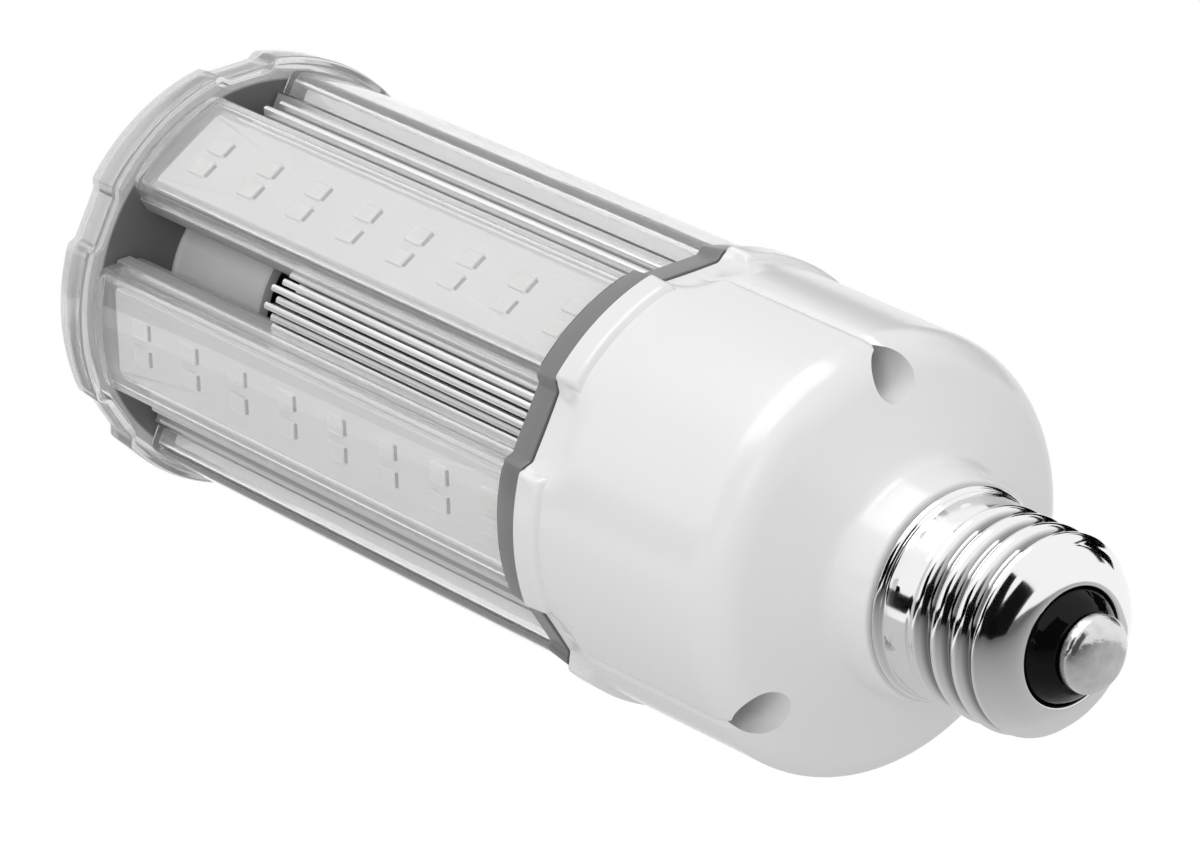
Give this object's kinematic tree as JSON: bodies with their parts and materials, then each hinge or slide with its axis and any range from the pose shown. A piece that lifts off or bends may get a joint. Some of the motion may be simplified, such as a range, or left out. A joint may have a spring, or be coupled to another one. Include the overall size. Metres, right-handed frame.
{
  "type": "led post top lamp",
  "caption": "Retrofit LED lamp for a post top lantern: LED panels under clear covers round a finned heat sink, white driver housing and a medium screw base.",
  "frame": {"origin": "middle of the flat outer face of the clear head, on which the lamp stands", "axes": "+Z along the lamp's axis towards the screw base, +X through the middle of the first LED panel"},
  "size_m": [0.0602, 0.0598, 0.172],
  "materials": {
    "clear_polycarbonate": "clear moulded polycarbonate, smooth",
    "extruded_aluminium": "as extruded, satin",
    "white_solder_mask": "white solder mask on an aluminium board",
    "grey_plastic": "moulded mid-grey plastic, satin",
    "plate_plastic": "moulded grey plastic, satin",
    "white_plastic": "moulded white plastic, glossy",
    "zinc_plated_steel": "zinc plated",
    "nickel_plated_shell": "nickel plated brass sheet, bright",
    "black_insulator": "black glass insulator, glossy",
    "tinned_contact": "tinned, dull",
    "driver_board_green": "green solder mask",
    "ferrite": "dark ferrite and tape",
    "capacitor_sleeve": "shrunk plastic sleeve",
    "film_capacitor_case": "dipped film capacitor",
    "epoxy_case": "black moulded epoxy",
    "copper_winding": "varnished copper winding",
    "red_lead": "red insulated wire",
    "white_lead": "white insulated wire"
  },
  "bodies": {
    "root": {"heat_sink": "extruded_aluminium", "led_board_1": "white_solder_mask", "led_board_2": "white_solder_mask", "led_board_3": "white_solder_mask", "led_board_4": "white_solder_mask", "led_board_5": "white_solder_mask", "led_board_6": "white_solder_mask", "panel_cover_1": "clear_polycarbonate", "panel_cover_2": "clear_polycarbonate", "panel_cover_3": "clear_polycarbonate", "panel_cover_4": "clear_polycarbonate", "panel_cover_5": "clear_polycarbonate", "panel_cover_6": "clear_polycarbonate", "end_plate": "plate_plastic", "end_led_board": "white_solder_mask", "end_cap": "clear_polycarbonate", "collar": "grey_plastic", "housing": "white_plastic", "housing_screw_1": "zinc_plated_steel", "housing_screw_2": "zinc_plated_steel", "housing_screw_3": "zinc_plated_steel", "screw_shell": "nickel_plated_shell", "shell_insulator": "black_insulator", "centre_contact": "tinned_contact", "driver_board": "driver_board_green", "transformer": "ferrite", "input_capacitor": "capacitor_sleeve", "output_capacitor": "capacitor_sleeve", "film_capacitor": "film_capacitor_case", "rectifier": "epoxy_case", "inductor": "copper_winding", "contact_lead": "red_lead", "shell_lead": "white_lead", "led_lead_positive": "red_lead", "led_lead_negative": "white_lead"}
  },
  "joints": []
}
